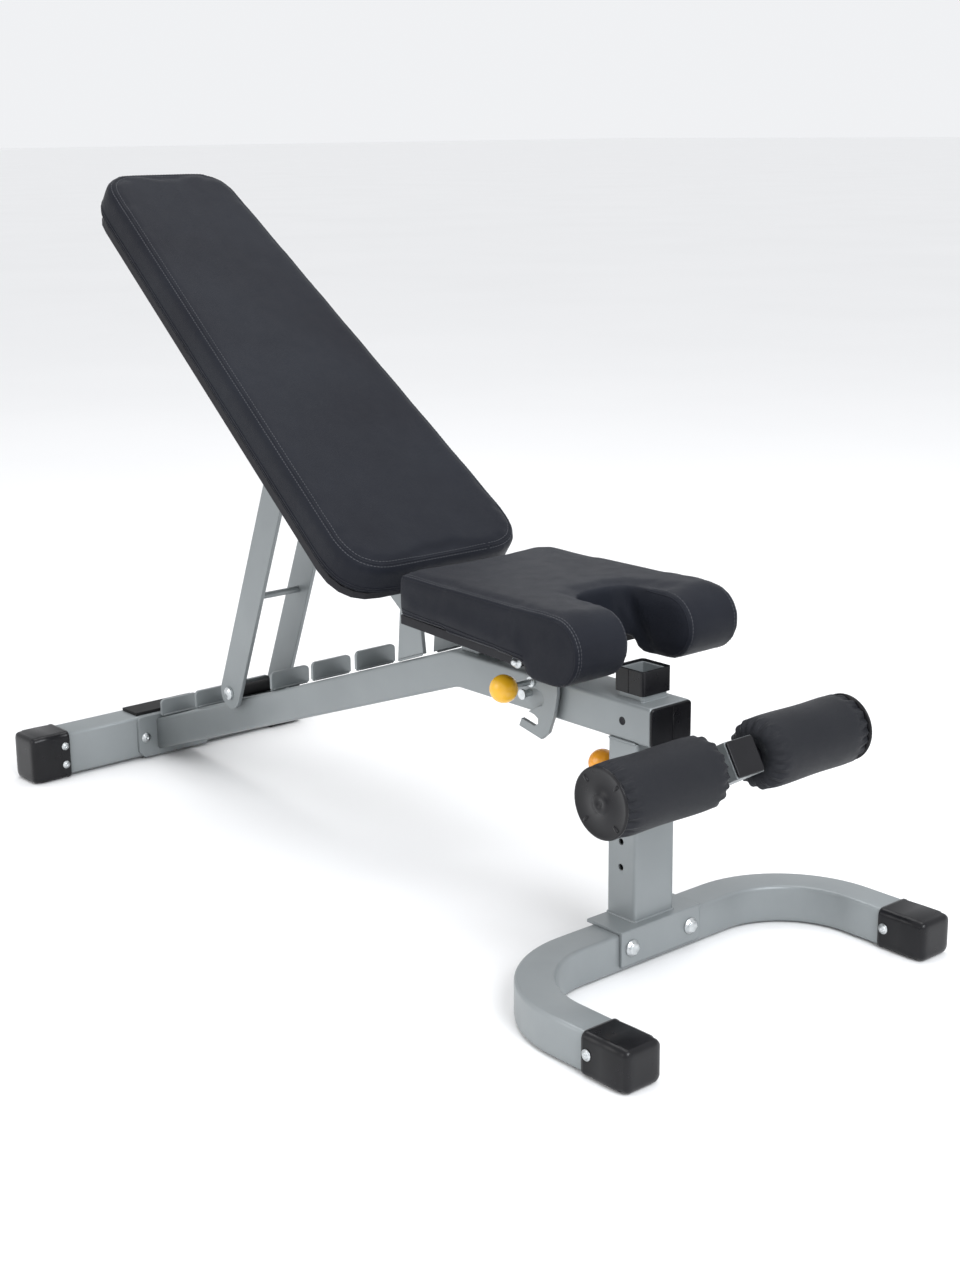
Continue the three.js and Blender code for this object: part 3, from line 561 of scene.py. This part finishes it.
def apply_modifiers(obj):
    mesh = evaluated_copy(obj)
    obj.modifiers.clear()
    obj.data = mesh


BACK_ANGLE = math.radians(36.3)
BACK_ORIGIN = at(-371, 0, 452)
BACK_UP = Vector((-math.cos(BACK_ANGLE), 0, math.sin(BACK_ANGLE)))
BACK_OUT = Vector((math.sin(BACK_ANGLE), 0, math.cos(BACK_ANGLE)))
BACK_LENGTH = 854
BACK_HALF_LOW = 158
BACK_HALF_TOP = 113
BACK_FOAM = 56


def on_back(x, y, depth):
    return BACK_ORIGIN + BACK_UP * (x * MM) + Vector((0, y * MM, 0)) - BACK_OUT * (depth * MM)


def curve_corner(a, corner, b, steps=10):
    return [((1 - t) ** 2 * a[0] + 2 * t * (1 - t) * corner[0] + t * t * b[0],
             (1 - t) ** 2 * a[1] + 2 * t * (1 - t) * corner[1] + t * t * b[1])
            for t in (k / steps for k in range(steps + 1))]


def back_outline(inset):
    low, top = 75 - inset, 60 - inset
    half_low, half_top = BACK_HALF_LOW - inset, BACK_HALF_TOP - inset
    end = BACK_LENGTH - inset
    half = curve_corner((inset, half_low - low), (inset, half_low), (inset + low, half_low - 2))
    half += curve_corner((end - top, half_top + 2), (end, half_top), (end, half_top - top))
    return half + [(x, -y) for x, y in reversed(half)] + [half[0]]


def back_cushion():
    held_depth = (BACK_FOAM - 4) * MM

    def is_held(point):
        return -(point - BACK_ORIGIN).dot(BACK_OUT) > held_depth

    pad = inflate("back_pad", "back_cushion", "backrest", 0.0055, 0.0015, 0.005, is_held)
    for label, inset, depth in (("outer", 7.0, 3.0), ("inner", 14.0, 0.0)):
        outline = [on_back(x, y, depth) for x, y in back_outline(inset)]
        stitch_row(f"back_stitches_{label}", outline, pad, "backrest")
    seam = [on_back(x, y, 1.5) for x, y in back_outline(10.0)]
    cord_along("back_seam", seam, pad, "backrest", 0.9, PAD, -0.0003)
    for index, depth in enumerate((40.0, 45.0, 50.0)):
        line = [on_back(x, y, depth) for x, y in back_outline(0.5)]
        cord_along(f"back_side_line_{index + 1}", line, pad, "backrest", 0.8, PAD)


SEAT_TOP = 460
SEAT_REAR = -325
SEAT_LOBE = 43.5
SEAT_LOBE_X = -12
SEAT_HALF_REAR = 132
SEAT_HALF_FRONT = 141
NOTCH_HALF = 49
NOTCH_BACK = -83


def seat_side(y_at, rear, inset=4.0):
    """The seat's side outline from its rear top edge forwards and round the front lobe."""
    points = [(rear + k * 12.0, SEAT_TOP - inset) for k in range(int((SEAT_LOBE_X - rear) / 12.0) + 1)]
    for k in range(1, 17):
        a = math.radians(90 - 175 * k / 16)
        radius = SEAT_LOBE - inset
        points.append((SEAT_LOBE_X + radius * math.cos(a), SEAT_TOP - SEAT_LOBE + radius * math.sin(a)))
    return [at(x, y_at(x), z) for x, z in points]


def side_half(x):
    t = min(max((x - SEAT_REAR) / (-60 - SEAT_REAR), 0), 1)
    return SEAT_HALF_REAR + t * (SEAT_HALF_FRONT - SEAT_HALF_REAR)


def seat_cushion():
    def is_held(point):
        x = (point.x - POST_X) / MM
        z = point.z / MM
        return x < -60 and z < 409 - (x + 320) * 0.05

    pad = inflate("seat_pad", "seat_cushion", "seat", 0.005, 0.001, 0.005, is_held)
    for label, side in (("near", -1), ("far", 1)):
        edge = seat_side(lambda x, s=side: s * (side_half(x) - 1), SEAT_REAR + 14)
        cord_along(f"seat_seam_{label}", edge, pad, "seat", 0.9, PAD, -0.0003)
        for row, inset in (("outer", 5.0), ("inner", 9.0)):
            line = seat_side(lambda x, s=side, i=inset: s * (side_half(x) - i), SEAT_REAR + 16, 0.0)
            stitch_row(f"seat_stitches_{label}_{row}", line, pad, "seat")
        inner = seat_side(lambda x, s=side: s * (NOTCH_HALF + 1), NOTCH_BACK + 40)
        cord_along(f"seat_notch_seam_{label}", inner, pad, "seat", 0.9, PAD, -0.0003)
        line = seat_side(lambda x, s=side: s * (NOTCH_HALF + 8), NOTCH_BACK + 36, 0.0)
        stitch_row(f"seat_notch_stitches_{label}", line, pad, "seat")
        for index, lift in enumerate((4.0, 10.0)):
            low = [at(x, side * (side_half(x) + 4), 405 + lift - (x + 320) * 0.05) for x in range(-312, -60, 10)]
            cord_along(f"seat_side_line_{label}_{index + 1}", low, pad, "seat", 0.8, PAD)
    rear = [at(SEAT_REAR + 12, y, SEAT_TOP) for y in range(-112, 113, 8)]
    stitch_row("seat_stitches_rear", rear, pad, "seat")


# ---------------------------------------------------------------- foam rollers

AXLE_X = 145.6
AXLE_Z = 288
ROLLER_RADIUS = 45
ROLLER_INNER = 38
ROLLER_OUTER = 209
GATHERS = 18


def roller_radius(y, angle):
    """Cover radius at a distance along the roller: full barrel, gathered ends drawn in to the caps."""
    near_end = min(y - ROLLER_INNER, ROLLER_OUTER - y)
    if near_end < 14:
        t = near_end / 14
        rim = 26 if y < (ROLLER_INNER + ROLLER_OUTER) / 2 else 40
        base = rim + (ROLLER_RADIUS - rim) * math.sqrt(max(1 - (1 - t) ** 2, 0))
    else:
        base = ROLLER_RADIUS
    fold = math.sin(GATHERS * angle + 1.3 * math.sin(3 * angle)) ** 3
    depth = 5.0 * math.exp(-((near_end - 7) / 9.0) ** 2)
    sag = 0.5 * math.sin(2 * angle + y * 0.05)
    return base - 0.8 + fold * depth * 0.5 - depth * 0.5 + sag * min(near_end / 30, 1)


def foam_roller(label, side):
    steps = 72
    segments = 180
    origin = at(AXLE_X, 0, AXLE_Z)
    rings = []

    def ring(radius_at, y):
        points = []
        for i in range(segments):
            a = math.tau * i / segments
            r = radius_at(a)
            points.append(origin + Vector((r * math.cos(a) * MM, side * y * MM, r * math.sin(a) * MM)))
        return points

    rings.append(ring(lambda a: 13.0, ROLLER_INNER + 4))
    rings.append(ring(lambda a: 22.0, ROLLER_INNER + 2))
    for k in range(steps + 1):
        u = k / steps
        blend = 0.5 - 0.5 * math.cos(math.pi * u)
        y = ROLLER_INNER + (ROLLER_OUTER - ROLLER_INNER) * (0.75 * blend + 0.25 * u)
        rings.append(ring(lambda a, yy=y: roller_radius(yy, a), y))
    rings.append(ring(lambda a: 22.0, ROLLER_OUTER - 2))
    rings.append(ring(lambda a: 13.0, ROLLER_OUTER - 4))
    rings.append(list(rings[0]))
    vertices, faces = loft(rings, close_ends=False)
    roller = make_piece(f"roller_cover_{label}", vertices, faces, ROLLER, f"roller_{label}")
    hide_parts(f"foam_roller_{label}")


def roller_cap(label, side):
    """Outer end cap: dished disc with four raised lugs round a centre recess."""
    origin = at(AXLE_X, side * (ROLLER_OUTER + 1.3), AXLE_Z)
    axis = Vector((0, side, 0))
    axle_end = abs(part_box("roller_axle")[1][1]) / MM - ROLLER_OUTER - 1.3
    hub = max(axle_end + 1.0, 3.2)
    profile = [(9, -0.2), (42, -0.2), (43, 1.0), (42.4, 2.6), (40.5, 3.2), (38.5, 2.2), (14, 1.6), (11.8, hub - 0.6),
               (11, hub), (4.2, hub), (3.6, hub - 0.8), (0.01, hub - 0.9)]
    vertices, faces = loft(lathe_rings(profile, origin, axis, 64), close_ends=False)
    for k in range(4):
        a = math.radians(45 + 90 * k)
        radial = Vector((math.cos(a), 0, math.sin(a)))
        across = axis.cross(radial)
        section = rounded_section(9, 3.4, 1.4, 3)
        rings = []
        for height, grow in ((1.4, 1.0), (3.0, 1.0), (3.6, 0.82)):
            rings.append([origin + axis * (height * MM) + radial * ((34 + a_ * grow) * MM)
                          + across * (b_ * grow * MM) for a_, b_ in section])
        extra, extra_faces = loft(rings)
        base = len(vertices)
        vertices += extra
        faces += [tuple(base + i for i in face) for face in extra_faces]
    cap = make_piece(f"roller_end_{label}", vertices, faces, PLASTIC, f"roller_{label}")
    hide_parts(f"roller_cap_{label}")


def ball(node, body, material, axis):
    """Ball knob with a flat at the stem and a fine moulding line."""
    low, high = (Vector(v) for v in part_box(node))
    middle = (low + high) / 2
    radius = min(high - low) / 2 / MM
    profile = []
    for k in range(41):
        a = -90 + 156 * k / 40
        swell = 0.12 if abs(a) < 2.5 else 0.0
        profile.append((max(radius * math.cos(math.radians(a)) + swell, 0.01), radius * math.sin(math.radians(a))))
    profile.append((0.01, radius * 0.915))
    vertices, faces = loft(lathe_rings(profile, middle, axis, 64))
    knob = make_piece(node + "_ball", vertices, faces, material, body)
    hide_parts(node)


# ---------------------------------------------------------------- small hardware

def small_hardware():
    cap_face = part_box("rear_cap_near")[1][0]
    for label, side in (("near", -1), ("far", 1)):
        for level, z in (("upper", 55), ("lower", 24)):
            place = Vector((cap_face, side * 206 * MM, z * MM))
            dome_screw(f"rear_cap_screw_{label}_{level}", place, Vector((1, 0, 0)), "frame", 4.2, 3.0)
        cap_low, cap_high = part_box(f"front_cap_{label}")
        for where, y, outward in (("outer", cap_low[1] if side < 0 else cap_high[1], side),
                                  ("inner", cap_high[1] if side < 0 else cap_low[1], -side)):
            place = Vector((cap_low[0] + 9 * MM, y, 29 * MM))
            dome_screw(f"front_cap_screw_{label}_{where}", place, Vector((0, outward, 0)), "frame", 4.6, 3.4)
        place = at(PLATE_FRONT, side * 57, 38)
        dome_screw(f"mount_bolt_{label}", place, Vector((1, 0, 0)), "frame", 5.6, 4.2)
        profile = [(0.01, 0), (8.2, 0), (8.2, 1.3), (6.4, 1.6), (5.0, 5.5), (2.6, 8.6), (0.01, 9.6)]
        rings = lathe_rings(profile, at(-92, side * 124.2, 387), Vector((0, side, 0)), 24)
        vertices, faces = loft(rings)
        make_piece(f"seat_dome_{label}", vertices, faces, ZINC, "seat")
        hex_bolt(f"bracket_bolt_{label}", "frame")


def weld_beads():
    half = TUBE_WIDE / 2
    for index in range(6):
        low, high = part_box(f"ladder_plate_{index + 1}")
        for face, x in (("front", high[0] + 0.4 * MM), ("rear", low[0] - 0.4 * MM)):
            z = rail_top_at((x - POST_X) / MM) * MM
            weld_bead(f"ladder_weld_{index + 1}_{face}", Vector((x, low[1] + 3 * MM, z)),
                      Vector((x, high[1] - 3 * MM, z)), "frame", 2.0)
    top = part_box("foot_bracket")[1][2] / MM
    corners = [(-24, -half), (25, -half), (25, half), (-24, half), (-24, -half)]
    for index, (a, b) in enumerate(zip(corners, corners[1:])):
        weld_bead(f"post_weld_{index + 1}", at(a[0], a[1], top), at(b[0], b[1], top), "frame", 2.4)
    for side in (-1, 1):
        label = "near" if side < 0 else "far"
        weld_bead(f"post_top_weld_{label}", at(-23, side * half, 288.6), at(23, side * half, 288.6), "frame", 2.2)
        low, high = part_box(f"upright_{label}")
        x0, x1 = (low[0] - POST_X) / MM, (high[0] - POST_X) / MM
        weld_bead(f"upright_weld_{label}", at(x0 + 1, side * half, rail_top_at(x0)),
                  at(x1 - 1, side * half, rail_top_at(x1)), "frame", 2.2)
    for index, (x0, y0, x1, y1) in enumerate(((22, -22, 22, 22), (-22, -22, 22, -22), (-22, 22, 22, 22))):
        weld_bead(f"socket_weld_{index + 1}", at(x0, y0, RAIL_TOP), at(x1, y1, RAIL_TOP), "frame", 1.9)
    sleeve_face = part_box("carriage_sleeve")[1][0]
    for side in (-1, 1):
        label = "near" if side < 0 else "far"
        a = Vector((sleeve_face, side * 22.5 * MM, 191 * MM))
        b = Vector((sleeve_face, side * 22.5 * MM, 243 * MM))
        weld_bead(f"arm_weld_{label}", a, b, "carriage", 2.0)


def hole_shade_discs():
    """Dark lipped discs on the rail's two sides: painted shade standing in for the holes' shaded insides."""
    half = TUBE_WIDE / 2
    for label, side in (("near", -1), ("far", 1)):
        origin = at(0, side * half, RAIL_TOP - TUBE_DEEP / 2)
        axis = Vector((0, side, 0))
        profile = [(0.01, 0.05), (4.2, 0.05), (4.5, 0.3), (5.2, 0.15), (5.4, 0.0)]
        vertices, faces = loft(lathe_rings(profile, origin, axis, 28), close_ends=False)
        # painted shade: a black board-plastic disc sits where the hole would show its dark, shaded inside
        make_piece(f"hole_shade_disc_{label}", vertices, faces, BOARD, "frame")


def mould_line(name, points, body):
    """A fine raised parting line on a moulded plug."""
    section = [(0.55 * math.cos(math.tau * k / 8), 0.35 * math.sin(math.tau * k / 8)) for k in range(8)]
    rings = tube_rings(points, section, lambda along: along.orthogonal())
    vertices, faces = loft(rings)
    make_piece(name, vertices, faces, PLASTIC, body)


def mould_lines():
    low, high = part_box("rail_end_plug")
    plug = [Vector((high[0], 0.002, low[2] + 3 * MM)), Vector((high[0], 0.002, high[2] - 3 * MM))]
    mould_line("rail_plug_line", plug, "frame")
    low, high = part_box("socket_sleeve")
    for label, y in (("near", low[1]), ("far", high[1])):
        edge = [Vector((low[0] + 25 * MM, y, low[2] + 1 * MM)), Vector((low[0] + 25 * MM, y, high[2] - 1 * MM))]
        mould_line(f"sleeve_line_{label}", edge, "frame")


# ---------------------------------------------------------------- stage

CAMERA_AZIMUTH = math.radians(49.47)
CAMERA_ELEVATION = math.radians(14.67)
CAMERA_ROLL = math.radians(-0.578)
CAMERA_PLACE = at(1615.7, -1643.7, 1020.8)
CAMERA_LENS = 55.22


def camera():
    right = Vector((math.cos(CAMERA_AZIMUTH), math.sin(CAMERA_AZIMUTH), 0))
    forward = Vector((-math.sin(CAMERA_AZIMUTH) * math.cos(CAMERA_ELEVATION),
                      math.cos(CAMERA_AZIMUTH) * math.cos(CAMERA_ELEVATION), -math.sin(CAMERA_ELEVATION)))
    up = right.cross(forward)
    rolled_right = right * math.cos(CAMERA_ROLL) + up * math.sin(CAMERA_ROLL)
    rolled_up = up * math.cos(CAMERA_ROLL) - right * math.sin(CAMERA_ROLL)
    data = bpy.data.cameras.new("camera")
    data.lens = CAMERA_LENS
    data.sensor_width = 36
    obj = bpy.data.objects.new("camera", data)
    bpy.context.collection.objects.link(obj)
    axes = Matrix((rolled_right, rolled_up, -forward)).transposed().to_4x4()
    obj.matrix_world = Matrix.Translation(CAMERA_PLACE) @ axes
    bpy.context.scene.camera = obj


def area_light(name, place, target, size, power, colour):
    data = bpy.data.lights.new(name, "AREA")
    data.shape = "DISK"
    data.size = size
    data.energy = power
    data.color = colour
    obj = bpy.data.objects.new(name, data)
    bpy.context.collection.objects.link(obj)
    obj.location = place
    obj.rotation_mode = "QUATERNION"
    obj.rotation_quaternion = (Vector(target) - Vector(place)).to_track_quat("-Z", "Y")


def studio():
    world = bpy.data.worlds.new("studio")
    world.use_nodes = True
    background = world.node_tree.nodes["Background"]
    background.inputs["Color"].default_value = (0.97, 0.98, 1.0, 1)
    background.inputs["Strength"].default_value = 0.9
    bpy.context.scene.world = world
    bpy.context.scene.view_settings.view_transform = "Standard"
    area_light("key", (3.2, -0.6, 2.6), (0, 0, 0.4), 2.0, 95, (0.95, 0.97, 1.0))
    area_light("fill", (-1.0, -3.6, 1.8), (0, 0, 0.4), 2.6, 30, (1.0, 0.99, 0.97))
    area_light("top", (-0.5, 0.4, 3.6), (0, 0, 0.4), 2.4, 40, (1.0, 1.0, 1.0))
    bpy.ops.mesh.primitive_plane_add(size=200, location=(0, 0, -0.0005))
    floor = bpy.context.object
    floor.name = "studio_floor"
    material, tree, shader = new_material("studio_floor")
    tone = colour_ramp(tree, noise(tree, 0.8), (0.93, 0.93, 0.93), (0.95, 0.95, 0.95))
    tree.links.new(tone, shader.inputs["Base Color"])
    shader.inputs["Roughness"].default_value = 0.9
    floor.data.materials.append(material)


camera()
studio()
finish_cad_nodes()
main_rail()
front_foot()
rear_stabilizer()
for label, sign in (("near", -1), ("far", 1)):
    tube_cap(f"front_cap_{label}", 0, 1, 1)
    tube_cap(f"rear_cap_{label}", 1, sign, 0)
    foam_roller(label, sign)
    roller_cap(label, sign)
back_cushion()
seat_cushion()
ball("catch_knob", "catch", YELLOW, Vector((0, 1, 0)))
ball("pin_knob", "pull_pin", ORANGE, Vector((1, 0, 0)))
small_hardware()
weld_beads()
hole_shade_discs()
mould_lines()
